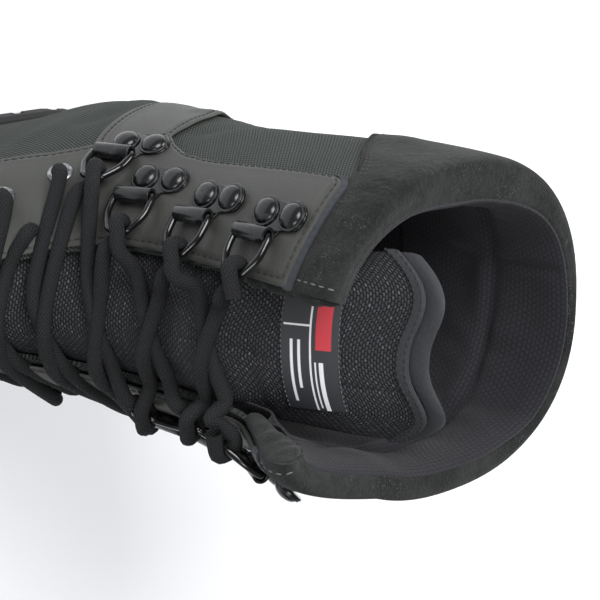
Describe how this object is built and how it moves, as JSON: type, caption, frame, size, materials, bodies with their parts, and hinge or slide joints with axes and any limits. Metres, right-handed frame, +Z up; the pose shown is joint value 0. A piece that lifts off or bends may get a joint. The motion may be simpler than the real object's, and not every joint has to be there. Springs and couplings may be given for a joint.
{
  "type": "tactical boot",
  "caption": "Eight-inch tactical boot for the right foot: mesh and leather upper, suede collar, riveted lacing rings, side zip and lugged sole.",
  "frame": {"origin": "on the floor, at the middle of the heel's flat tread", "axes": "+Z up along the shaft, -Y towards the toe, +X towards the medial side"},
  "size_m": [0.1153, 0.3215, 0.2478],
  "materials": {
    "rubber": "matte moulded rubber",
    "foam": "matte moulded midsole",
    "mesh": "ribbed nylon mesh",
    "tongue_mesh": "coarse ballistic mesh",
    "lining": "soft knit",
    "label": "woven satin band",
    "leather": "smooth leather with a low sheen",
    "suede": "napped suede",
    "ring_metal": "glossy black enamel",
    "eyelet_metal": "worn steel rim",
    "zip_metal": "moulded teeth and painted slider",
    "lace": "round braided cord"
  },
  "bodies": {
    "boot": {"outsole": "rubber", "midsole": "foam", "upper": "mesh", "insole": "lining", "tongue": "tongue_mesh", "tongue_label": "label", "toe_cap": "leather", "heel_counter": "leather", "collar_cuff": "suede", "facing_lateral": "leather", "ankle_band_lateral": "leather", "ring_plate_lateral_1": "ring_metal", "ring_loop_lateral_1": "ring_metal", "ring_plate_lateral_2": "ring_metal", "ring_loop_lateral_2": "ring_metal", "ring_plate_lateral_3": "ring_metal", "ring_loop_lateral_3": "ring_metal", "ring_plate_lateral_4": "ring_metal", "ring_loop_lateral_4": "ring_metal", "eyelet_lateral_1": "eyelet_metal", "eyelet_lateral_2": "eyelet_metal", "eyelet_lateral_3": "eyelet_metal", "eyelet_lateral_4": "eyelet_metal", "facing_medial": "leather", "ankle_band_medial": "leather", "ring_plate_medial_1": "ring_metal", "ring_loop_medial_1": "ring_metal", "ring_plate_medial_2": "ring_metal", "ring_loop_medial_2": "ring_metal", "ring_plate_medial_3": "ring_metal", "ring_loop_medial_3": "ring_metal", "ring_plate_medial_4": "ring_metal", "ring_loop_medial_4": "ring_metal", "eyelet_medial_1": "eyelet_metal", "eyelet_medial_2": "eyelet_metal", "eyelet_medial_3": "eyelet_metal", "eyelet_medial_4": "eyelet_metal", "lace": "lace", "zip_tape": "mesh", "zip_chain": "zip_metal", "zip_slider": "zip_metal"},
    "zip_pull": {"zip_pull": "zip_metal"}
  },
  "joints": [
    {"name": "zip_pull_hinge", "type": "hinge", "parent": "boot", "child": "zip_pull", "pos_m": [0.05246, 0.01866, 0.18569], "axis": [0.3301, -0.937, 0.1139], "range_deg": [0, 140]}
  ]
}
